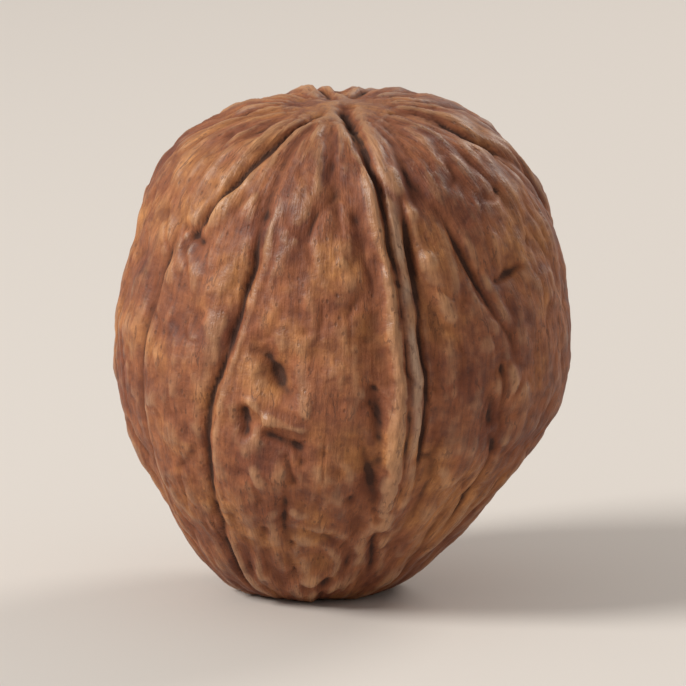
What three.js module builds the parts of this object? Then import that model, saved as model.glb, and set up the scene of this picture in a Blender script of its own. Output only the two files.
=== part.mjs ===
// A Persian walnut in its shell, standing on the small flat of its stem end.
// Millimetres, +Z up. The origin is the middle of the flat that the nut rests on, and the front is -Y.
//
// The shell grew as one piece, so it is one solid: a smooth body with the relief of the shell added to its
// radius. The relief is laid out on the nut's own globe. Its poles are the tip (colatitude 0) and the stem end
// (colatitude 180), and longitude 0 is the front, with longitudes growing towards the right (+X).
import * as THREE from "three";
import { mergeVertices } from "three/addons/utils/BufferGeometryUtils.js";

const { abs, acos, atan2, cos, exp, max, PI, sin, tan } = Math;
const rad = THREE.MathUtils.degToRad;

// The body: its radius from the nut's middle, in mm, is a sum of cosines of the angle from the top.
const MEAN_RADIUS = 18.65;
const FULLER_TOP = -0.8; // cos 1: the radius is smaller at the top than at the foot
const LENGTHENING = 1.3; // cos 2: longer than it is wide
const SHOULDERS = -0.8; // cos 3: broad shoulders and a narrow foot
const SQUARENESS = 0.05; // cos 4: squares both ends off
const BLUNT_TOP = -0.5; // cos 5: flattens the crown
const OVALNESS = 0.012; // the cheeks are wider than the seams by twice this share, before the seam's ridge
const FOOT_FULLNESS = 1.6; // the foot is rounder at the front and the back than at its sides
const FOOT_ANGLE = [rad(128), rad(26)]; // where that is the most, and how far it reaches
const HEEL = 0.35; // a slight swelling all round, just above the flat
const HEEL_ANGLE = [rad(157), rad(12)];
const ROLL_HEIGHT = 0.16; // broad, shallow swells all over

const MIDDLE_HEIGHT = 20.85; // the nut's middle above the flat
const FOOT_SHIFT = -3.1; // the foot lies this far to the left of the body's axis
const CROWN_SHIFT = -1.1; // and so does the crown, by this much
const TIP_LEAN = rad(13); // the tip lies this far down the front of the crown

// The seam, where the two half shells meet: a ridge with a gutter on each side, all the way round.
const SEAM_LONGITUDE = rad(15.5);
const SEAM_TWIST = rad(3); // it turns by this much from the tip to the middle, and again to the stem end
const SEAM_RISE = 0.4;
const SEAM_HALF_WIDTH = 1.4;
const SEAM_START = [rad(10), rad(50)]; // it rises out of the crown between these colatitudes
const SEAM_END = [rad(110), rad(156)]; // and sinks into the foot between these
const GUTTER_DEPTH = 0.28;
const GUTTER_OFFSET = 2.3;
const GUTTER_HALF_WIDTH = 0.9;
const TIP_RISE = 0.35; // the tip itself, a low point
const TIP_SPREAD = rad(6);

// The furrows, in degrees and mm: the longitude where each crosses the nut's middle, how far it swings from
// the tip to the middle and again to the stem end, the colatitudes it runs between, its depth and half width.
const FURROWS = [
  { at: -92, swing: 8, from: 14, to: 104, depth: 0.45, half: 1.3 },
  { at: -80, swing: -12, from: 88, to: 150, depth: 0.4, half: 1.2 },
  { at: -60, swing: -2, from: 56, to: 138, depth: 0.3, half: 1.2 },
  { at: -66, swing: -36, from: 12, to: 58, depth: 0.7, half: 1 },
  { at: -33, swing: -11, from: 26, to: 160, depth: 0.55, half: 1.1 },
  { at: -3, swing: 0, from: 20, to: 54, depth: 0.25, half: 1.3 },
  { at: -10, swing: -6, from: 112, to: 152, depth: 0.3, half: 1.4 },
  { at: -1, swing: 33, from: 106, to: 154, depth: 0.4, half: 1.2 },
  { at: 50, swing: 32, from: 26, to: 84, depth: 0.5, half: 1.1 },
  { at: 44, swing: 8, from: 90, to: 144, depth: 0.4, half: 1.2 },
  { at: 111, swing: 50, from: 12, to: 66, depth: 0.4, half: 1.1 },
  { at: 95, swing: 9, from: 44, to: 106, depth: 0.45, half: 1.3 },
  { at: 99, swing: -10, from: 80, to: 150, depth: 0.38, half: 1.2 },
  { at: 118, swing: 14, from: 22, to: 78, depth: 0.32, half: 1.2 },
  { at: 126, swing: -9, from: 58, to: 158, depth: 0.5, half: 1.2 },
  { at: 150, swing: -14, from: 14, to: 110, depth: 0.58, half: 1.1 },
  { at: 157, swing: 14, from: 94, to: 150, depth: 0.42, half: 1.2 },
  { at: 176, swing: 8, from: 30, to: 86, depth: 0.34, half: 1.2 },
  { at: 180, swing: -10, from: 98, to: 142, depth: 0.3, half: 1.2 },
  { at: 219, swing: 6, from: 14, to: 92, depth: 0.5, half: 1.2 },
  { at: 228, swing: -16, from: 80, to: 142, depth: 0.45, half: 1.1 },
  { at: 245, swing: 16, from: 24, to: 72, depth: 0.36, half: 1.1 },
  { at: 250, swing: -6, from: 62, to: 156, depth: 0.54, half: 1.2 },
];

// The dents between the furrows: place in degrees, radius and depth in mm.
const DENTS = [
  { longitude: -17, colatitude: 85, radius: 1.7, depth: 0.5 },
  { longitude: -24, colatitude: 100, radius: 1.3, depth: 0.5 },
  { longitude: -13, colatitude: 106, radius: 1.7, depth: 0.45 },
  { longitude: 9, colatitude: 111, radius: 2.0, depth: 0.35 },
  { longitude: -51, colatitude: 55, radius: 1.5, depth: 0.4 },
  { longitude: 43, colatitude: 104, radius: 1.6, depth: 0.4 },
  { longitude: 52, colatitude: 65, radius: 1.3, depth: 0.35 },
  { longitude: 121, colatitude: 78, radius: 1.9, depth: 0.4 },
  { longitude: 163, colatitude: 104, radius: 1.7, depth: 0.45 },
  { longitude: 232, colatitude: 118, radius: 1.8, depth: 0.4 },
  { longitude: 248, colatitude: 74, radius: 1.6, depth: 0.4 },
];

const GRID = 26; // squares along each side of the cube that the globe is made from
const SHELL_COLOUR = "#a87850";

// 1 on a line, fading to 0 on both sides of it.
const hump = (distance, half) => exp(-((distance / half) ** 2));
// 0 before the start, 1 past the end.
const ramp = THREE.MathUtils.smoothstep;
// How far along the nut: -1 at the tip, 0 at the middle, 1 at the stem end.
const along = (colatitude) => colatitude / (PI / 2) - 1;

function direction(colatitude, longitude) {
  const away = sin(colatitude);
  return new THREE.Vector3(away * sin(longitude), -away * cos(longitude), cos(colatitude));
}

function bodyRadius(d) {
  const angle = acos(d.z);
  const profile =
    MEAN_RADIUS +
    FULLER_TOP * cos(angle) +
    LENGTHENING * cos(2 * angle) +
    SHOULDERS * cos(3 * angle) +
    SQUARENESS * cos(4 * angle) +
    BLUNT_TOP * cos(5 * angle);
  const fromSeam = atan2(d.x, -d.y) - SEAM_LONGITUDE;
  const oval = 1 - OVALNESS * sin(angle) ** 2 * cos(2 * fromSeam);
  const foot = FOOT_FULLNESS * hump(angle - FOOT_ANGLE[0], FOOT_ANGLE[1]) * d.y ** 2;
  const heel = HEEL * hump(angle - HEEL_ANGLE[0], HEEL_ANGLE[1]);
  const roll = sin(4.3 * d.x + 1.1) * sin(4.9 * d.y + 0.4) + sin(5.7 * d.z + 2) * sin(4.1 * d.x - 0.7);
  return profile * oval + foot + heel + ROLL_HEIGHT * roll;
}

// `fromSeam` is the longitude measured from the seam, `reach` the distance to the nut's long axis.
function seamRelief(colatitude, fromSeam, reach) {
  const across = reach * sin(fromSeam);
  const share = ramp(colatitude, ...SEAM_START) * (1 - ramp(colatitude, ...SEAM_END));
  const ridge = SEAM_RISE * hump(across, SEAM_HALF_WIDTH);
  return share * (ridge - GUTTER_DEPTH * hump(abs(across) - GUTTER_OFFSET, GUTTER_HALF_WIDTH));
}

function furrowRelief(colatitude, longitude, reach) {
  let relief = 0;
  for (const furrow of FURROWS) {
    const turn = longitude - rad(furrow.at) - rad(furrow.swing) * along(colatitude);
    const across = reach * atan2(sin(turn), cos(turn));
    const starts = ramp(colatitude, rad(furrow.from), rad(furrow.from + 18));
    const ends = ramp(colatitude, rad(furrow.to - 18), rad(furrow.to));
    relief -= furrow.depth * starts * (1 - ends) * hump(across, furrow.half);
  }
  return relief;
}

function dentRelief(q, radius) {
  let relief = 0;
  for (const dent of DENTS) {
    const middle = direction(rad(dent.colatitude), rad(dent.longitude));
    relief -= dent.depth * hump(radius * q.distanceTo(middle), dent.radius);
  }
  return relief;
}

// The point of the shell at a place on the nut's own globe, with the longitude measured from the seam.
function shellPoint(colatitude, fromSeam) {
  const longitude = fromSeam + SEAM_LONGITUDE + SEAM_TWIST * along(colatitude);
  const q = direction(colatitude, longitude);
  const d = q.clone().applyAxisAngle(new THREE.Vector3(1, 0, 0), (TIP_LEAN * (1 + q.z)) / 2);
  const body = bodyRadius(d);
  const reach = body * sin(colatitude);
  const radius =
    body +
    TIP_RISE * hump(colatitude, TIP_SPREAD) +
    seamRelief(colatitude, fromSeam, reach) +
    furrowRelief(colatitude, longitude, reach) +
    dentRelief(q, body);
  const p = d.clone().multiplyScalar(radius);
  p.x += FOOT_SHIFT * (((1 - d.z) / 2) ** 3 - 1) + CROWN_SHIFT * ((1 + d.z) / 2) ** 2;
  p.z = max(p.z + MIDDLE_HEIGHT, 0); // the foot is worn flat
  return p;
}

// A cube's squares spread evenly over a globe. It has no crowded poles, and the middle lines of its sides
// are meridians, so that the seam runs along one of them.
function evenGlobe() {
  const cube = new THREE.BoxGeometry(2, 2, 2, GRID, GRID, GRID);
  cube.deleteAttribute("normal");
  cube.deleteAttribute("uv");
  const globe = mergeVertices(cube);
  const corners = globe.getAttribute("position");
  const spread = (side) => tan((side * PI) / 4);
  for (let i = 0; i < corners.count; i++) {
    const [x, y, z] = [corners.getX(i), corners.getY(i), corners.getZ(i)].map(spread);
    corners.setXYZ(i, ...new THREE.Vector3(x, y, z).normalize());
  }
  return globe;
}

function shellGeometry() {
  const shell = evenGlobe();
  const corners = shell.getAttribute("position");
  for (let i = 0; i < corners.count; i++) {
    const g = new THREE.Vector3().fromBufferAttribute(corners, i);
    corners.setXYZ(i, ...shellPoint(acos(g.z), atan2(g.x, -g.y)));
  }
  return shell;
}

const walnut = new THREE.Mesh(
  shellGeometry(),
  new THREE.MeshStandardMaterial({ color: SHELL_COLOUR, roughness: 0.62, metalness: 0 }),
);
walnut.name = "walnut";

const part = new THREE.Group();
part.add(walnut);

export default part;
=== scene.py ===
# %% [markdown]
# # A walnut in its shell
#
# A walnut is one hard, dry shell. It grew in one piece, as wood does, with a raised seam where its two
# halves meet, furrows that run from the tip to the stem end, and dents and hair-fine veins between them.
# Here the shell is one closed mesh. The relief is real geometry, worked out point by point, and one
# procedural material follows it: pale and smooth on the crests, dark and dull in the hollows, with a painted
# highlight in that paleness and painted shade in that darkness.

# %% Load the frame
import math

import bmesh
import bpy
import numpy as np
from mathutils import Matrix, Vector, noise
from mathutils.bvhtree import BVHTree


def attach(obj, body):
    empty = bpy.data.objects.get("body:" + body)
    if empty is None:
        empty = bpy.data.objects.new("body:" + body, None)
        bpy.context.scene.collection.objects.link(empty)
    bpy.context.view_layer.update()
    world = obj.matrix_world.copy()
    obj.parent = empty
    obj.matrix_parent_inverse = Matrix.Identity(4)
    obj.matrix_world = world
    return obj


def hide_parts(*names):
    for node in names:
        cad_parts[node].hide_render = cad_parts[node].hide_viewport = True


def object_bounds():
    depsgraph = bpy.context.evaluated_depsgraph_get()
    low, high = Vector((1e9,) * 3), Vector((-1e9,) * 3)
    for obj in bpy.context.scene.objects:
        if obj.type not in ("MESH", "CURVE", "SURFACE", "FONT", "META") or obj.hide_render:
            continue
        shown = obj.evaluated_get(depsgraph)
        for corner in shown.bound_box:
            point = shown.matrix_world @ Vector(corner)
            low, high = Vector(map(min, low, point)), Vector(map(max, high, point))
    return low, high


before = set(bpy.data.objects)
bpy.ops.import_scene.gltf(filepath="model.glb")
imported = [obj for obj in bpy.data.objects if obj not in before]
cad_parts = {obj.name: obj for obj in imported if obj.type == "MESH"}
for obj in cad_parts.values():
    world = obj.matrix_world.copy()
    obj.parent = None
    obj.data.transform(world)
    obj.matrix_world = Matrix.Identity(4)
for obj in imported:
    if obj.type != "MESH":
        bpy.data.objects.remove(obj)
cad_low, cad_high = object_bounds()
MM = 0.001
print("the solid measures", [round(side / MM, 1) for side in cad_high - cad_low], "mm")

# %% [markdown]
# ## An even globe
#
# A sphere of meridians and parallels crowds its points at the poles, where a walnut's furrows crowd too. A
# cube whose squares are spread over a globe has no such place, and its squares are all nearly as large. The
# middle lines of its sides are meridians, so the seam can run along one of them and stay perfectly crisp.

# %% Spread a cube over a globe
SQUARES = 128  # along each side of the cube: they come out 0.22 mm wide, for furrows half a millimetre wide

mesh = bpy.data.meshes.new("walnut_shell")
cube = bmesh.new()
bmesh.ops.create_cube(cube, size=2)
bmesh.ops.subdivide_edges(cube, edges=cube.edges[:], cuts=SQUARES - 1, use_grid_fill=True)
cube.to_mesh(mesh)
cube.free()
count = len(mesh.vertices)
globe = np.empty(count * 3)
mesh.vertices.foreach_get("co", globe)
globe = np.tan(globe.reshape(-1, 3) * math.pi / 4)
globe /= np.linalg.norm(globe, axis=1, keepdims=True)
print("points on the globe:", count)

# %% [markdown]
# ## The nut's own map
#
# Every feature of a walnut runs between its tip and its stem end, so they are the poles of the map: the
# colatitude is 0 degrees at the tip and 180 at the stem end, and longitude 0 is the front. The seam turns a
# little on its way down, and the whole map turns with it. These numbers are the CAD solid's own.

# %% Find each point's place on the map
SEAM_LONGITUDE = 15.5  # degrees
SEAM_TWIST = 3  # degrees from the tip to the middle, and as many again to the stem end
TIP_LEAN = math.radians(13)


def ramp(x, start, end):
    """0 before the start, 1 past the end, and smooth between them."""
    t = np.clip((x - start) / (end - start), 0, 1)
    return t * t * (3 - 2 * t)


def hump(distance, half):
    """1 on a line, fading to 0 on both sides of it."""
    return np.exp(-((distance / half) ** 2))


def direction(colat, lon):
    return np.stack([np.sin(colat) * np.sin(lon), -np.sin(colat) * np.cos(lon), np.cos(colat)], -1)


colatitude = np.arccos(np.clip(globe[:, 2], -1, 1))
from_seam = np.arctan2(globe[:, 0], -globe[:, 1])
along = colatitude / (math.pi / 2) - 1
longitude = from_seam + np.radians(SEAM_LONGITUDE + SEAM_TWIST * along)
own = direction(colatitude, longitude)
degrees = np.degrees(colatitude)
print("longitudes from", np.degrees(longitude).min().round(), "to", np.degrees(longitude).max().round())

# %% [markdown]
# ## The body
#
# The smooth body under the relief is nearly a figure of revolution: its radius is a sum of cosines of the
# angle from the top, which gives broad shoulders, a blunt crown and a narrower foot with very few numbers.
# The tip lies a little down the front of the crown, so the map is leant over towards the front on its way up.

# %% Work out the body
PROFILE = [18.65, -0.8, 1.3, -0.8, 0.05, -0.5]  # mm, of a constant, the cosine, that of twice the angle...
OVALNESS = 0.012  # the cheeks are wider than the seams by twice this share, before the seam is raised
FOOT_FULLNESS = 1.6  # mm, at the front and the back
FOOT_ANGLE = (128, 26)  # degrees: where that is the most, and how far it reaches
HEEL = 0.35  # mm, a slight swelling just above the flat
HEEL_ANGLE = (157, 12)
ROLL_HEIGHT = 0.16  # mm, of broad, shallow swells all over

lean = TIP_LEAN * (1 + own[:, 2]) / 2
body_way = np.column_stack(
    [
        own[:, 0],
        own[:, 1] * np.cos(lean) - own[:, 2] * np.sin(lean),
        own[:, 1] * np.sin(lean) + own[:, 2] * np.cos(lean),
    ]
)
angle = np.arccos(np.clip(body_way[:, 2], -1, 1))
x, y, z = body_way.T
body = sum(size * np.cos(k * angle) for k, size in enumerate(PROFILE))
body *= 1 - OVALNESS * np.sin(angle) ** 2 * np.cos(2 * (np.arctan2(x, -y) - math.radians(SEAM_LONGITUDE)))
body += FOOT_FULLNESS * hump(np.degrees(angle) - FOOT_ANGLE[0], FOOT_ANGLE[1]) * y**2
body += HEEL * hump(np.degrees(angle) - HEEL_ANGLE[0], HEEL_ANGLE[1])
body += ROLL_HEIGHT * (
    np.sin(4.3 * x + 1.1) * np.sin(4.9 * y + 0.4) + np.sin(5.7 * z + 2) * np.sin(4.1 * x - 0.7)
)
reach = body * np.sin(colatitude)  # mm from the nut's long axis
print("body radius from", body.min().round(1), "to", body.max().round(1), "mm")

# %% [markdown]
# ## Noise that runs with the grain
#
# A shell grows lengthwise, so its wrinkles and veins are longer than they are wide, and they draw together
# at both ends. Noise that is sampled in plain space knows nothing of this. So the shell is unrolled onto a
# cylinder, 1 unit to the millimetre at the nut's middle, and all noise is sampled there, stretched
# lengthwise. Close to the tip and the stem end the cylinder is drawn in to a point, or the noise would run
# out in rays.

# %% Unroll the shell
RING_RADIUS = 17.5  # mm, the cylinder's radius
MERIDIAN_RADIUS = 19.5  # mm: a degree of colatitude becomes 0.34 mm of the cylinder's length
DRAWN_IN = 4.5  # mm from the axis

ring = RING_RADIUS * np.minimum(reach / DRAWN_IN, 1)
unrolled = np.column_stack(
    [ring * np.cos(longitude), ring * np.sin(longitude), MERIDIAN_RADIUS * colatitude]
)
print("the cylinder is", round(MERIDIAN_RADIUS * math.pi), "mm long")


def waves(width, length, seed):
    """Perlin noise from -1 to 1, with waves so many mm wide and long on the shell."""
    places = unrolled / (width, width, length) + 9.7 * seed
    return np.array([noise.noise(place) for place in places.tolist()])


def cells(width, length, seed):
    """Cells so many mm wide and long: how far each point is from its cell's middle and edge, and a number
    from 0 to 1 that all of one cell shares."""
    places = (unrolled + shifts) / (width, width, length) + 9.7 * seed
    found = [noise.voronoi(place) for place in places.tolist()]
    near = np.array([distances[:2] for distances, _ in found]) * width
    share = np.array([noise.cell(points[0]) for _, points in found])
    return near[:, 0], (near[:, 1] - near[:, 0]) / 2, np.mod(share * 7.3, 1)


# %% [markdown]
# ## Lines that wander
#
# No line on a shell is straight. One slow and one quick noise push every line sideways, and another pair
# pushes the cells lengthwise. At the front the lines are laid where they belong one by one, so they wander
# less there than behind.

# %% Make the lines wander
CELL_WANDER = 1.6  # how many times further the cells wander than the lines

off_axis = ramp(reach, 1.5, 7)
behind = ramp(np.abs(np.degrees(longitude + math.pi) % 360 - 180), 70, 110)
wander = (0.55 + 0.7 * behind) * waves(6, 9, 1) + (0.22 + 0.15 * behind) * waves(1.9, 3, 2)
wander *= off_axis  # mm, sideways
drift = 0.8 * waves(5, 6, 3) + 0.25 * waves(1.6, 2, 4)  # mm, lengthwise
shifts = np.column_stack([wander, wander, drift]) * CELL_WANDER
patches = waves(3.5, 6, 5)
print("lines wander by up to", np.abs(wander).max().round(2), "mm")

# %% [markdown]
# ## The seam
#
# The two half shells meet in a low ridge that runs all the way round and sinks into the crown near the tip.
# Its left lip stands proud, and a hairline crack beside it opens towards the tip. Right of the crack lies a
# flat, worn strip, and a second dark line marks where that strip meets the right half shell. Each of them
# is a profile across the seam, times how much of it there is at each place on the way from tip to stem end.

# %% Raise the seam
SEAM_RISE = 0.4  # mm, as all depths and widths here
SEAM_HALF_WIDTH = 1.4
SEAM_START = (10, 50)  # the colatitudes between which it rises
SEAM_END = (110, 156)
GUTTER_DEPTH = 0.28
GUTTER_PLACE = 2.3  # on both sides of the seam's middle
GUTTER_HALF_WIDTH = 0.9
LIP_PLACE = -0.75  # to the right of the seam's middle, as are the two places in the next cell

unevenness = 0.14 * waves(0.9, 2.2, 24) + 0.12 * waves(2, 4, 25)
across_seam = reach * np.sin(from_seam) + 0.5 * wander + unevenness * off_axis
in_front = np.cos(from_seam) > 0
seam_fades = 1 - ramp(degrees, *SEAM_END)
seam_share = ramp(degrees, *SEAM_START) * seam_fades
share_behind = np.maximum(seam_share, 0.6 * ramp(degrees, 2, 14) * seam_fades)
seam_share = np.where(in_front, seam_share, share_behind)
seam_crest = np.exp(-((across_seam / SEAM_HALF_WIDTH) ** 4)) * seam_share
seam_gutters = GUTTER_DEPTH * hump(np.abs(across_seam) - GUTTER_PLACE, GUTTER_HALF_WIDTH) * seam_share
lip_width = 0.42 + 0.4 * ramp(degrees, 88, 112)
lip = (0.13 + 0.18 * ramp(degrees, 20, 60)) * hump(across_seam - LIP_PLACE, lip_width)
lip *= 1 + 0.6 * waves(1.5, 2.5, 26) + 0.5 * waves(0.7, 0.9, 27)
lip *= (1 - ramp(degrees, 128, 158)) * ramp(degrees, 8, 24)
seam = SEAM_RISE * seam_crest + lip - seam_gutters
print("seam rises", seam.max().round(2), "mm")

# %% Open its crack and sink its strip
CRACK_PLACE = -0.1
CRACK_DEPTH = 0.42
STRIP_DEPTH = 0.22
EDGE_PLACE = 1.45
EDGE_DEPTH = 0.62

openness = np.clip(0.55 + 1.1 * patches, 0.15, 1.1)
openness += 1.1 * hump(degrees - 20, 26) + 0.5 * hump(degrees - 56, 16)
crack_width = 0.2 + 0.4 * hump(degrees - 13, 15) + 0.2 * hump(degrees - 54, 14)
crack = CRACK_DEPTH * openness * hump(across_seam - CRACK_PLACE, crack_width)
crack *= seam_fades * ramp(degrees, 2, 7)
sunk = ramp(across_seam, -0.35, 0.1) * (1 - ramp(across_seam, 1.6, 5))
sunk *= STRIP_DEPTH * seam_fades * ramp(degrees, 5, 20)
edge_in_front = ramp(degrees, 36, 50) * (1 - ramp(degrees, 104, 118))
edge_run = np.where(in_front, edge_in_front, 0.35 * seam_share)
edge_width = 0.24 + 0.2 * hump(degrees - 57, 13)
edge_line = EDGE_DEPTH * edge_run * hump(across_seam - EDGE_PLACE, edge_width) * (0.95 + 0.8 * patches)
seam -= crack + sunk + edge_line
print("its crack is", crack.max().round(2), "mm deep, and its edge line", edge_line.max().round(2))

# %% [markdown]
# ## The furrows
#
# The furrows run lengthwise, each a broad valley with a dark, narrow line at its bottom and a slight swelling
# on each side. The valleys are the CAD solid's. The narrow line is too fine for the solid: it comes and goes
# along its way, because the veins that pressed it into the young shell did too. Some furrows start faint and
# deepen on their way down, so the last number in each row says what share of the line is there at its top.

# %% Press in the furrows
FURROWS = [
    # where it crosses the middle, swing, from, to (degrees), depth, half width (mm), share at its top
    (-92, 8, 14, 104, 0.45, 1.3, 1),
    (-80, -12, 88, 150, 0.4, 1.2, 1),
    (-60, -2, 56, 138, 0.3, 1.2, 1),
    (-66, -36, 12, 58, 0.7, 1, 1),
    (-33, -11, 26, 160, 0.55, 1.1, 0.4),
    (-3, 0, 20, 54, 0.25, 1.3, 0.2),
    (-10, -6, 112, 152, 0.3, 1.4, 1),
    (-1, 33, 106, 154, 0.4, 1.2, 0.4),
    (50, 32, 26, 84, 0.5, 1.1, 0.3),
    (44, 8, 90, 144, 0.4, 1.2, 1),
    (111, 50, 12, 66, 0.4, 1.1, 0.8),
    (95, 9, 44, 106, 0.45, 1.3, 1),
    (99, -10, 80, 150, 0.38, 1.2, 1),
    (118, 14, 22, 78, 0.32, 1.2, 1),
    (126, -9, 58, 158, 0.5, 1.2, 1),
    (150, -14, 14, 110, 0.58, 1.1, 1),
    (157, 14, 94, 150, 0.42, 1.2, 1),
    (176, 8, 30, 86, 0.34, 1.2, 1),
    (180, -10, 98, 142, 0.3, 1.2, 1),
    (219, 6, 14, 92, 0.5, 1.2, 1),
    (228, -16, 80, 142, 0.45, 1.1, 1),
    (245, 16, 24, 72, 0.36, 1.1, 1),
    (250, -6, 62, 156, 0.54, 1.2, 1),
]
CORE_HALF_WIDTH = 0.2  # mm
CORE_DEPTH = 0.85  # as a share of the valley's depth
SWELLINGS = [(0.85, 0.25), (-0.85, 0.12)]  # mm to the right of the line, and height as a share of the depth
SWELLING_HALF_WIDTH = 0.38


def beside(at, swing):
    """How many mm each point lies beside a line that crosses the middle at a longitude, and swings."""
    turn = longitude - np.radians(at + swing * along)
    return reach * np.arctan2(np.sin(turn), np.cos(turn)) + wander


furrows = np.zeros(count)
strength = np.clip(0.72 + (0.8 + 0.5 * behind) * waves(3, 5, 13), 0.1, 1.3)
for at, swing, start, end, depth, half, top_share in FURROWS:
    across = beside(at, swing)
    share = top_share + (1 - top_share) * ramp(degrees, start + 10, start + 40)
    valley = ramp(degrees, start, start + 18) * (1 - ramp(degrees, end - 18, end)) * (0.5 + 0.5 * share)
    core = ramp(degrees, start - 8, start + 3) * (1 - ramp(degrees, end - 10, end + 4)) * share
    furrows -= depth * valley * hump(across, half) * (0.75 + 0.25 * strength)
    furrows -= CORE_DEPTH * depth * core * strength * hump(across, CORE_HALF_WIDTH + 0.1 * strength)
    for place, rise in SWELLINGS:
        furrows += rise * depth * core * hump(across - place, SWELLING_HALF_WIDTH)
print("furrows:", len(FURROWS), "down to", furrows.min().round(2), "mm")

# %% [markdown]
# ## Dents and nicks
#
# Between the furrows the shell is dented as if by a fingertip, and nicked by short cracks. A dent is round. A
# nick is a short stroke from one place on the map to another, and a nick of negative depth is a small ridge.

# %% Press in the dents and nicks
DENTS = [
    # longitude, colatitude (degrees), radius, depth (mm)
    (-17, 85, 1.7, 0.5),
    (-24, 100, 1.3, 0.5),
    (-13, 106, 1.7, 0.45),
    (9, 111, 2.0, 0.35),
    (-51, 55, 1.5, 0.4),
    (43, 104, 1.6, 0.4),
    (52, 65, 1.3, 0.35),
    (121, 78, 1.9, 0.4),
    (163, 104, 1.7, 0.45),
    (232, 118, 1.8, 0.4),
    (248, 74, 1.6, 0.4),
]
NICKS = [
    # from longitude, colatitude, to longitude, colatitude (degrees), half width, depth (mm)
    (-21, 80.5, -15, 91, 1.05, 0.6),
    (-20, 83, -16, 89, 0.6, 0.34),
    (-11.5, 79, -9, 96, 0.6, -0.16),
    (-25, 98, -24, 103, 0.5, 0.45),
    (-23, 95, -18, 99, 0.45, -0.26),
    (-18, 99, -10, 101, 0.45, -0.26),
    (-18.5, 103.5, -10, 106.5, 0.5, 0.34),
    (-13, 109, -10.5, 116, 0.36, 0.24),
    (4.5, 76, 4.5, 88, 0.4, 0.14),
    (7, 90, 9.5, 103, 0.45, 0.15),
    (10.5, 91, 12.5, 105, 0.5, -0.22),
    (13.5, 88, 14.5, 93, 0.36, 0.24),
    (3, 103.5, 8, 115.5, 0.85, 0.1),
    (11.5, 107, 17, 132, 0.85, -0.24),
    (17, 132, 36, 154, 0.9, -0.3),
    (-11.5, 116, -8.5, 110.5, 0.55, 0.14),
    (-8.5, 110.5, -4, 108.5, 0.55, 0.12),
    (-4, 108.5, 0.5, 113, 0.55, 0.14),
    (0.5, 113, 4.5, 122, 0.55, 0.16),
    (4.5, 122, 9, 137, 0.5, 0.2),
    (-11, 126, -9, 127.5, 0.6, -0.3),
    (-16.5, 127, -32, 155, 0.45, -0.24),
    (-20.5, 134, -25, 151, 0.4, 0.24),
    (-21, 113, -26, 138, 0.5, -0.2),
    (21, 32.5, 24, 43.5, 0.65, -0.34),
    (24, 43.5, 25, 55.5, 0.7, -0.42),
    (25, 55.5, 28, 72, 0.7, -0.36),
    (57, 21, 69, 35, 0.6, -0.22),
    (40.5, 97, 42, 104, 0.5, 0.34),
    (42.5, 108, 46.5, 113, 0.45, 0.28),
    (47, 65.5, 57, 64, 0.34, 0.24),
    (-54.5, 53, -47.5, 55, 0.42, 0.28),
    (-3, 28, -3, 46, 0.5, 0.12),
    (30, 3, 15, 13, 0.6, 0.45),
    (-62, 68, -59, 92, 0.28, 0.14),
    (21, 124, 32, 146, 0.55, -0.24),
    (120, 76, 123, 84, 0.5, 0.24),
    (135, 92, 139, 104, 0.4, 0.2),
    (160, 103, 168, 106, 0.45, 0.24),
    (206, 62, 212, 66, 0.4, 0.2),
    (228, 116, 238, 119, 0.42, 0.24),
    (247, 70, 249, 81, 0.45, 0.24),
    (262, 84, 270, 88, 0.4, 0.2),
    (286, 112, 292, 120, 0.4, 0.2),
]
ragged = 0.16 * waves(1.1, 1.4, 21) + 0.2 * waves(2.2, 2.6, 22)  # mm: no nick has a clean edge


def stroke(lon_a, colat_a, lon_b, colat_b):
    """How many mm each point lies from a short straight stroke between two places on the map."""
    a, b = (direction(np.radians(c), np.radians(n)) for n, c in ((lon_a, colat_a), (lon_b, colat_b)))
    t = np.clip((own - a) @ (b - a) / ((b - a) @ (b - a)), 0, 1)
    return body * np.linalg.norm(own - a - t[:, None] * (b - a), axis=1) + ragged


dents = np.zeros(count)
for lon, colat, radius, depth in DENTS:
    dents -= depth * hump(stroke(lon, colat, lon + 0.1, colat), radius)
for lon_a, colat_a, lon_b, colat_b, half, depth in NICKS:
    dents -= depth * hump(stroke(lon_a, colat_a, lon_b, colat_b), half)
print("dents and nicks:", len(DENTS), len(NICKS))

# %% [markdown]
# ## A knot with rings
#
# Low on the front the grain runs round a knot, and shows as a few faint rings, as round a knot in a board. A
# cosine of the distance from the knot gives crests at an even spacing. They fade in and out again with that
# distance, and they show on the knot's right side only.

# %% Draw the rings round the knot
KNOT = (-13, 146)  # longitude and colatitude, in degrees
RING_HEIGHT = 0.2  # mm
RING_SPACING = 2.1
RING_START = 1.1  # from the knot to the crest of its first ring
RINGS_MIDDLE = 3.8  # from the knot to where the rings are at their highest
RINGS_REACH = 1.7  # and from there to where they have faded

from_knot = stroke(*KNOT, KNOT[0] + 0.1, KNOT[1]) + 0.8 * wander
rings = RING_HEIGHT * np.cos((from_knot - RING_START) * 2 * math.pi / RING_SPACING)
rings *= hump(from_knot - RINGS_MIDDLE, RINGS_REACH) * ramp(np.degrees(longitude), -16, 0)
print("rings up to", rings.max().round(2), "mm high")

# %% [markdown]
# ## Veins, wrinkles and pits
#
# The rest of the relief is too plentiful to place by hand. Long cells give a network of faint veins, as they
# were pressed into the shell while it was soft. Finer noise gives the wrinkles between them, and two in
# five of the smaller cells hold a pit. All of it fades out at the two ends, where it would grow too fine.

# %% Add the fine relief
VEIN_DEPTH = 0.15  # mm
VEIN_HALF_WIDTH = 0.26
PIT_DEPTH = 0.18
PIT_RADIUS = 0.4
PIT_SHARE = 0.4  # of the cells

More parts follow.
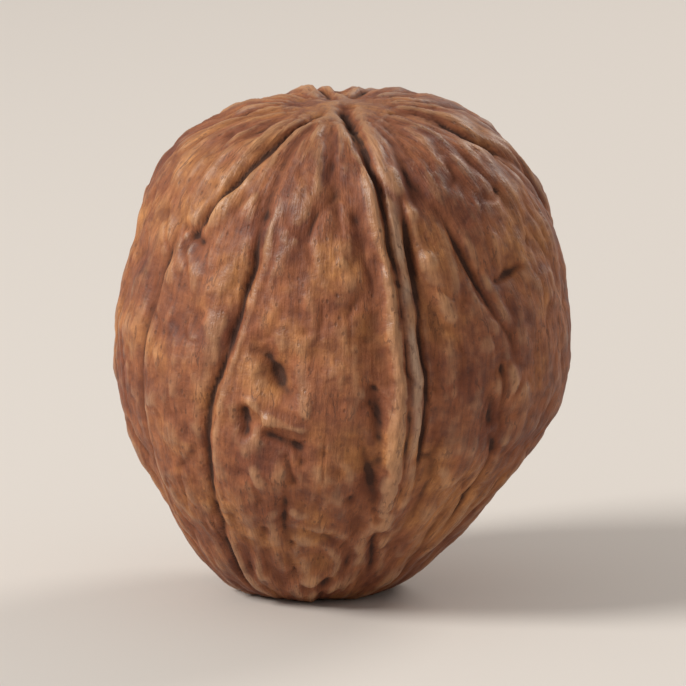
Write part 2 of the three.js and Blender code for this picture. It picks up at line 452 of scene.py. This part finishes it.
_, vein_edge, _ = cells(5, 10, 6)
veins = VEIN_DEPTH * hump(vein_edge, VEIN_HALF_WIDTH) * np.clip(0.3 + 1.6 * patches, 0, 1)
bulges = 0.22 * ramp(vein_edge, 0, 1.5)
swells = 0.26 * waves(3.4, 5, 8) + 0.2 * waves(1.7, 2.6, 9)
creases = 0.15 * hump(waves(3.2, 8, 14), 0.06) * np.clip(0.3 + 1.6 * waves(4, 5, 15), 0, 1)
creases += 0.1 * hump(waves(1.7, 3.6, 16), 0.08) * np.clip(0.3 + 1.6 * waves(3, 4, 17), 0, 1)
pit_middle, _, pit_share = cells(2.6, 3.2, 11)
pits = PIT_DEPTH * hump(pit_middle, PIT_RADIUS) * (pit_share > 1 - PIT_SHARE)
leather = 0.06 * waves(0.85, 1.2, 10) + 0.03 * waves(0.48, 0.65, 12)
fine = ramp(reach, 2, 6) * (bulges - veins + swells - creases - pits + leather)
print("fine relief from", fine.min().round(2), "to", fine.max().round(2), "mm")

# %% [markdown]
# ## Putting the shell together
#
# All the relief is added to the body's radius. The foot is worn flat where the nut stands: a soft maximum
# rounds the rim of the flat, as wear does. In the middle of the flat is the scar that the stem left, a small
# pit with cracks that fan out of it.

# %% Stand it on its foot
MIDDLE_HEIGHT = 20.85  # mm
FOOT_SHIFT = -3.1  # mm to the right, as is the crown's
CROWN_SHIFT = -1.1
TIP_RISE = 0.35  # mm
TIP_SPREAD = 6  # degrees
RIM_ROUNDING = 0.3  # mm

relief = TIP_RISE * hump(degrees, TIP_SPREAD) + seam + furrows + dents + rings + fine
points = body_way * (body + relief)[:, None]
points[:, 0] += FOOT_SHIFT * (((1 - body_way[:, 2]) / 2) ** 3 - 1)
points[:, 0] += CROWN_SHIFT * ((1 + body_way[:, 2]) / 2) ** 2
points[:, 2] += MIDDLE_HEIGHT
points[:, 2] = (points[:, 2] + np.sqrt(points[:, 2] ** 2 + RIM_ROUNDING**2)) / 2
print("the nut is", points[:, 2].max().round(1), "mm tall")

# %% Press in the stem's scar
HOLE_DEPTH = 0.7  # mm
HOLE_RADIUS = 0.8
SCAR_RADIUS = 3.4
SCAR_RIM = 0.2  # how deep its rim is, and as deep are the cracks that fan out of the hole
RAYS_MIDDLE = 2.6  # from the hole to where the cracks are at their deepest
RAYS_REACH = 1.2

from_scar = np.hypot(points[:, 0], points[:, 1]) + 0.6 * wander + 0.3 * drift
scar_side = np.arctan2(points[:, 1], points[:, 0])
rays = hump(np.sin(4.5 * scar_side + 1.5 * np.sin(3 * scar_side + 1)), 0.25)
rays *= hump(from_scar - RAYS_MIDDLE, RAYS_REACH)
scar = HOLE_DEPTH * hump(from_scar, HOLE_RADIUS) + SCAR_RIM * (hump(from_scar - SCAR_RADIUS, 0.4) + rays)
scar *= 1 - ramp(points[:, 2], 0.2, 2)  # on the flat only
points[:, 2] += scar
print("the scar is", scar.max().round(2), "mm deep")

# %% Give the points to the mesh
mesh.vertices.foreach_set("co", (points * MM).ravel())
mesh.polygons.foreach_set("use_smooth", [True] * len(mesh.polygons))
mesh.update()
shell = bpy.data.objects.new("walnut_shell", mesh)
bpy.context.collection.objects.link(shell)
print("lowest point of the shell:", points[:, 2].min().round(3), "mm")

# %% [markdown]
# ## How well it sits in the solid
#
# The fine shell stands for the CAD solid, so it has to keep to it. The distance from its points to the
# solid's faces says how far they part, and one point in seven is enough to tell.

# %% Measure the shell against the solid
STEP = 7

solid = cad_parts["walnut"]
tree = BVHTree.FromPolygons(
    [v.co for v in solid.data.vertices], [p.vertices for p in solid.data.polygons]
)
apart = np.array([tree.find_nearest(place)[3] for place in (points[::STEP] * MM).tolist()]) / MM
print("from the solid, mm: mean", apart.mean().round(3), "most", apart.max().round(3))

# %% [markdown]
# ## What the material needs to know
#
# Dirt and tannin gather in hollows, and handling polishes crests. The material also paints shade into the
# hollows and a highlight onto the crests from the same map. A hollow is a point lower than the mean of what
# is around it, so the relief is smoothed over the mesh and the difference taken, once with about half a
# millimetre on each side and once with about two. The mesh carries the result as an attribute that the
# material can read, along with the place of the seam's worn strip and the unrolled space for the patterns.

# %% Find the hollows and crests
NARROW = (10, 0.14)  # rounds of smoothing, and how many mm below the mean count as fully hollow
BROAD = (160, 0.5)

ends_of_edges = np.empty(len(mesh.edges) * 2, int)
mesh.edges.foreach_get("vertices", ends_of_edges)
first, second = ends_of_edges.reshape(-1, 2).T
neighbours = np.bincount(ends_of_edges, minlength=count)


def smoothed(values, rounds):
    """Each point takes the mean of its neighbours, so many times over."""
    for _ in range(rounds):
        total = np.bincount(first, values[second], count) + np.bincount(second, values[first], count)
        values = total / neighbours
    return values


height = relief - scar
narrow_hollow, broad_hollow = ((smoothed(height, n) - height) / full for n, full in (NARROW, BROAD))
hollows = np.clip(0.75 * narrow_hollow + 0.35 * broad_hollow, -1, 1.4)
print("deep hollows:", round(float((hollows > 0.5).mean()) * 100, 1), "% of the shell")

# %% Store them for the material
STRIP_PLACE = 0.7  # mm to the right of the seam's middle
STRIP_HALF_WIDTH = 0.5

strip_run = ramp(degrees, 30, 55) * (1 - ramp(degrees, 104, 118))
wear = np.clip(0.75 + 1.2 * waves(1.2, 3, 23), 0, 1)
attributes = {
    "hollow": hollows,
    "seam_strip": hump(across_seam - STRIP_PLACE, STRIP_HALF_WIDTH) * strip_run * wear,
}
for name, values in attributes.items():
    mesh.attributes.new(name, "FLOAT", "POINT").data.foreach_set("value", values)
mesh.attributes.new("grain_space", "FLOAT_VECTOR", "POINT").data.foreach_set("vector", unrolled.ravel())
print("attributes:", [*attributes, "grain_space"])

# %% [markdown]
# ## The finish: dried, washed walnut shell
#
# The shell is lignin and cellulose, like a hard, close-grained wood that was never planed: tan where it is
# smooth, reddish brown in its furrows, with a satin sheen from washing, tumbling and handling. The colours
# are built up in layers: the wood's own mottled tan, the polish on the crests with a painted highlight in it
# and the wear on the seam, then the fibres, pores and hairline checks, and at last the tannin that dried dark
# in the hollows, with painted shade in the same darkening. The patterns are noise in the unrolled space, so
# that every one runs with the grain and needs no image.

# %% A helper for colours and one for nodes
def linear(code):
    """An sRGB hex colour as linear red, green, blue and alpha."""
    channels = [int(code[i : i + 2], 16) / 255 for i in (1, 3, 5)]
    return [c / 12.92 if c <= 0.04045 else ((c + 0.055) / 1.055) ** 2.4 for c in channels] + [1]


def add(material, kind, inputs=(), stops=(), **settings):
    """Adds a node with its settings, its colour stops, and its inputs as values or links. An input goes by
    its name, or by its number where several share one: 0, 6 and 7 are a colour Mix's factor and colours."""
    node = material.node_tree.nodes.new("ShaderNode" + kind)
    for name, value in settings.items():
        setattr(node, name, value)
    for i, (position, code) in enumerate(stops):
        ramp_stops = node.color_ramp.elements
        stop = ramp_stops[i] if i < 2 else ramp_stops.new(position)
        stop.position = position
        stop.color = linear(code)
    for name, value in dict(inputs).items():
        if isinstance(value, bpy.types.NodeSocket):
            material.node_tree.links.new(value, node.inputs[name])
        else:
            node.inputs[name].default_value = value
    return node


print("a mid brown in linear light:", [round(channel, 3) for channel in linear("#A0613B")])

# %% Read the shell's attributes
shell_wood = bpy.data.materials.new("washed_walnut_shell")
shell_wood.use_nodes = True
shell_wood.node_tree.nodes.clear()

hollow = add(shell_wood, "Attribute", attribute_name="hollow").outputs["Fac"]
strip = add(shell_wood, "Attribute", attribute_name="seam_strip").outputs["Fac"]
grain_space = add(shell_wood, "Attribute", attribute_name="grain_space").outputs["Vector"]
print("the material reads", [node.attribute_name for node in shell_wood.node_tree.nodes])

# %% [markdown]
# ## Patterns at their real sizes
#
# The pattern space is in millimetres, so a scale of 1 / 7 gives patches about 7 mm across. Real fibres are a
# few hundredths of a millimetre wide and their pores are finer still. Here the fibres are drawn 0.3 mm wide
# and the pores 0.2 mm, the finest that still show.

# %% Make the patterns
MOTTLE_SIZE = 7  # mm
BLOTCH_SIZE = 1.6
FIBRE_SIZE = (0.3, 0.3, 2.4)  # mm across the grain both ways and along it
CHECK_SIZE = (1.5, 1.5, 7)
PORE_SPACING = (0.75, 0.75, 1.3)

mottle = add(
    shell_wood,
    "TexNoise",
    {"Vector": grain_space, "Scale": 1 / MOTTLE_SIZE, "Detail": 3, "Roughness": 0.6},
).outputs["Fac"]
blotches = add(
    shell_wood,
    "TexNoise",
    {"Vector": grain_space, "Scale": 1 / BLOTCH_SIZE, "Detail": 4, "Roughness": 0.65},
).outputs["Fac"]
fibre_space = add(
    shell_wood, "Mapping", {"Vector": grain_space, "Scale": [1 / size for size in FIBRE_SIZE]}
).outputs["Vector"]
fibres = add(
    shell_wood, "TexNoise", {"Vector": fibre_space, "Scale": 1, "Detail": 3, "Roughness": 0.65}
).outputs["Fac"]
check_space = add(
    shell_wood, "Mapping", {"Vector": grain_space, "Scale": [1 / size for size in CHECK_SIZE]}
).outputs["Vector"]
check_waves = add(
    shell_wood, "TexNoise", {"Vector": check_space, "Scale": 1, "Detail": 4, "Roughness": 0.6}
).outputs["Fac"]
pore_space = add(
    shell_wood, "Mapping", {"Vector": grain_space, "Scale": [1 / size for size in PORE_SPACING]}
).outputs["Vector"]
pore_distance = add(shell_wood, "TexVoronoi", {"Vector": pore_space, "Scale": 1}).outputs["Distance"]
print("nodes with the patterns:", len(shell_wood.node_tree.nodes))

# %% [markdown]
# ## Checks and pores
#
# A check is the hairline crack that drying opens along the grain. Noise crosses its own mean value along
# thin, wandering lines, so the places where it is nearly 0.5 draw such lines. A pore is the very middle of a
# cell. Checks show in patches only, where the blotches are pale.

# %% Draw the checks and pores
CHECK_LEVEL = 0.5  # the noise's mean value
CHECK_BAND = 0.012  # how near to it counts as a check

on_check = add(
    shell_wood, "Math", {0: check_waves, 1: CHECK_LEVEL, 2: CHECK_BAND}, operation="COMPARE"
).outputs["Value"]
check_patches = add(
    shell_wood, "MapRange", {"Value": blotches, "From Min": 0.48, "From Max": 0.6, "To Max": 0.55}
).outputs["Result"]
check_share = add(
    shell_wood, "Math", {0: on_check, 1: check_patches}, operation="MULTIPLY"
).outputs["Value"]
pore_share = add(
    shell_wood, "MapRange", {"Value": pore_distance, "From Min": 0.2, "From Max": 0.1, "To Max": 0.45}
).outputs["Result"]
fine_marks = add(
    shell_wood, "Math", {0: check_share, 1: pore_share}, operation="MAXIMUM"
).outputs["Value"]
print("nodes with the checks and pores:", len(shell_wood.node_tree.nodes))

# %% [markdown]
# ## The mottled wood and its polish
#
# The bare shell is mottled in patches from reddish brown to tan, with smaller, fainter blotches over them.
# Handling has rubbed the crests paler, and that lightening is also a painted highlight where the crests catch
# the light. The flat strip in the seam is worn to a greyish tan.

# %% Colour the wood, and polish its crests and paint a highlight on them
skin = add(
    shell_wood,
    "ValToRGB",
    {"Fac": mottle},
    [(0.35, "#84482C"), (0.5, "#A0613B"), (0.65, "#BA7D48")],
).outputs["Color"]
blotch_shade = add(
    shell_wood, "ValToRGB", {"Fac": blotches}, [(0.33, "#A58976"), (0.62, "#FFFFFF")]
).outputs["Color"]
blotched = add(
    shell_wood, "Mix", {0: 0.8, 6: skin, 7: blotch_shade}, data_type="RGBA", blend_type="MULTIPLY"
).outputs[2]
# Paler crests: partly rubbed by handling, partly a painted highlight where the ridges catch the light
crest_polish_and_highlight_share = add(
    shell_wood, "MapRange", {"Value": hollow, "From Min": -0.15, "From Max": -0.9, "To Max": 0.5}
).outputs["Result"]
polished_and_highlit = add(
    shell_wood, "Mix", {0: crest_polish_and_highlight_share, 6: blotched, 7: linear("#C99A70")}, data_type="RGBA"
).outputs[2]
strip_share = add(shell_wood, "MapRange", {"Value": strip, "To Max": 0.5}).outputs["Result"]
worn = add(
    shell_wood, "Mix", {0: strip_share, 6: polished_and_highlit, 7: linear("#B8A594")}, data_type="RGBA"
).outputs[2]
print("nodes with the polish:", len(shell_wood.node_tree.nodes))

# %% Draw the fibres and marks over it
fibre_shade = add(
    shell_wood, "ValToRGB", {"Fac": fibres}, [(0.32, "#C2B4AA"), (0.6, "#FFFFFF")]
).outputs["Color"]
fibred = add(
    shell_wood, "Mix", {0: 0.65, 6: worn, 7: fibre_shade}, data_type="RGBA", blend_type="MULTIPLY"
).outputs[2]
marked = add(
    shell_wood, "Mix", {0: fine_marks, 6: fibred, 7: linear("#4E2E1E")}, data_type="RGBA"
).outputs[2]
print("nodes with the marks:", len(shell_wood.node_tree.nodes))

# %% [markdown]
# ## Tannin and painted shade
#
# Tannin from the green husk dried dark in the hollows, and the same darkening is also painted shade, where
# shade falls in the hollows. The noise that is added to the hollows breaks up the edges of the darkening, as
# the stain soaked in where the wood let it and ran out along the fibres.

# %% Stain the hollows and paint shade into them
# The hollows are darkened from here on: partly tannin stain, partly painted shade in the recesses
soaking = add(
    shell_wood,
    "MapRange",
    {"Value": blotches, "From Min": 0.3, "From Max": 0.7, "To Min": -0.2, "To Max": 0.2},
).outputs["Result"]
running = add(
    shell_wood,
    "MapRange",
    {"Value": fibres, "From Min": 0.3, "From Max": 0.7, "To Min": -0.12, "To Max": 0.12},
).outputs["Result"]
ragged_hollow = add(shell_wood, "Math", {0: hollow, 1: soaking}, operation="ADD").outputs["Value"]
stain_and_shade_depth = add(shell_wood, "Math", {0: ragged_hollow, 1: running}, operation="ADD").outputs["Value"]
# How far the hollows are darkened: tannin stain and painted shade together
stain_and_shade_share = add(
    shell_wood, "MapRange", {"Value": stain_and_shade_depth, "From Min": 0.15, "From Max": 1.3, "To Max": 0.92}
).outputs["Result"]
stain_and_shade = add(
    shell_wood, "ValToRGB", {"Fac": stain_and_shade_share}, [(0.15, "#6E3A22"), (0.9, "#33180C")]
).outputs["Color"]
stained_and_shaded = add(
    shell_wood, "Mix", {0: stain_and_shade_share, 6: marked, 7: stain_and_shade}, data_type="RGBA"
).outputs[2]
print("nodes with the stain:", len(shell_wood.node_tree.nodes))

# %% [markdown]
# ## Sheen and the finest relief
#
# The mesh carries all relief down to half a millimetre. What is finer is bump: a leathery unevenness, the
# fibres, and the checks and pores, which lie deeper than the wood around them. Crests are satin, and the
# hollows, where the stain and the painted shade lie, are dull. Cellulose and lignin bend light much as glass
# does, with an IOR of about 1.5.

# %% Finish the surface
dullness = add(
    shell_wood,
    "MapRange",
    {"Value": stain_and_shade_depth, "From Min": -0.6, "From Max": 0.6, "To Min": 0.43, "To Max": 0.86},
).outputs["Result"]
leather_bump = add(
    shell_wood, "Bump", {"Height": blotches, "Strength": 0.7, "Distance": 0.25 * MM}
).outputs["Normal"]
fibre_bump = add(
    shell_wood, "Bump", {"Height": fibres, "Strength": 0.7, "Distance": 0.1 * MM, "Normal": leather_bump}
).outputs["Normal"]
mark_bump = add(
    shell_wood,
    "Bump",
    {"Height": fine_marks, "Strength": 0.8, "Distance": 0.08 * MM, "Normal": fibre_bump},
    invert=True,
).outputs["Normal"]
surface = add(
    shell_wood,
    "BsdfPrincipled",
    {"Base Color": stained_and_shaded, "Roughness": dullness, "Normal": mark_bump, "IOR": 1.5},
).outputs["BSDF"]
add(shell_wood, "OutputMaterial", {"Surface": surface})
mesh.materials.append(shell_wood)
print("nodes in the shell's material:", len(shell_wood.node_tree.nodes))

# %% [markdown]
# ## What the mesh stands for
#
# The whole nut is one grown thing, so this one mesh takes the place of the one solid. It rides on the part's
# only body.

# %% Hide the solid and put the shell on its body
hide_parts("walnut")
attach(shell, "root")
print(shell.name, "shows the solid", solid.name)

# %% [markdown]
# ## The floor, the light and the camera
#
# The nut stands on a plain pale floor, matt, so that it only shows where the nut touches it. A large soft
# light above and to the left models the furrows, a weaker one behind and to the right lifts the edge, and a
# pale sky fills the shade. The camera looks slightly down, from as far off as a hand would hold it, with a
# long lens, so that the nut fills the picture without being drawn out of shape.

# %% Lay the floor
FLOOR_REACH = 3  # metres from the nut, so that no edge of it comes into view

floor_mesh = bpy.data.meshes.new("floor")
corners = [(FLOOR_REACH * i, FLOOR_REACH * j, 0) for i, j in ((-1, -1), (1, -1), (1, 1), (-1, 1))]
floor_mesh.from_pydata(corners, [], [(0, 1, 2, 3)])
floor = bpy.data.objects.new("floor", floor_mesh)
bpy.context.collection.objects.link(floor)
matt_paint = bpy.data.materials.new("matt_table_paint")
matt_paint.use_nodes = True
matt_paint.node_tree.nodes.clear()
paint = add(
    matt_paint, "BsdfPrincipled", {"Base Color": linear("#D3CDC7"), "Roughness": 0.7}
).outputs["BSDF"]
add(matt_paint, "OutputMaterial", {"Surface": paint})
floor_mesh.materials.append(matt_paint)
print("the floor is", 2 * FLOOR_REACH, "metres wide")

# %% Light it
middle = (cad_low + cad_high) / 2


def soft_light(name, place, size, watts, code):
    """A round lamp that faces the nut from so many metres off its middle."""
    lamp = bpy.data.lights.new(name, "AREA")
    lamp.shape = "DISK"
    lamp.size = size
    lamp.energy = watts
    lamp.color = linear(code)[:3]
    holder = bpy.data.objects.new(name, lamp)
    holder.location = middle + Vector(place)
    holder.rotation_euler = (-Vector(place)).to_track_quat("-Z", "Y").to_euler()
    bpy.context.collection.objects.link(holder)


soft_light("window", (-0.64, -0.25, 0.5), 0.35, 6.9, "#FFFDF8")
soft_light("rim", (0.45, 0.5, 0.45), 0.35, 2.5, "#FFF8F0")
sky = bpy.data.worlds.new("pale_room")
sky.use_nodes = True
backdrop = sky.node_tree.nodes["Background"]
backdrop.inputs["Color"].default_value = linear("#E6E2DE")
backdrop.inputs["Strength"].default_value = 0.55
bpy.context.scene.world = sky
bpy.context.scene.view_settings.view_transform = "Standard"
print("lamps:", [lamp.name for lamp in bpy.data.lights])

# %% Set up the camera
CAMERA_DISTANCE = 0.5
CAMERA_ELEVATION = math.radians(10)
PICTURE_SIDE = 0.053  # metres across the picture at the nut

camera_data = bpy.data.cameras.new("camera")
camera_data.sensor_width = 36
camera_data.lens = camera_data.sensor_width * CAMERA_DISTANCE / PICTURE_SIDE
camera = bpy.data.objects.new("camera", camera_data)
back = Vector((0, -math.cos(CAMERA_ELEVATION), math.sin(CAMERA_ELEVATION)))
camera.location = middle + back * CAMERA_DISTANCE
camera.rotation_euler = (-back).to_track_quat("-Z", "Y").to_euler()
bpy.context.collection.objects.link(camera)
bpy.context.scene.camera = camera
print("lens:", round(camera_data.lens), "mm")
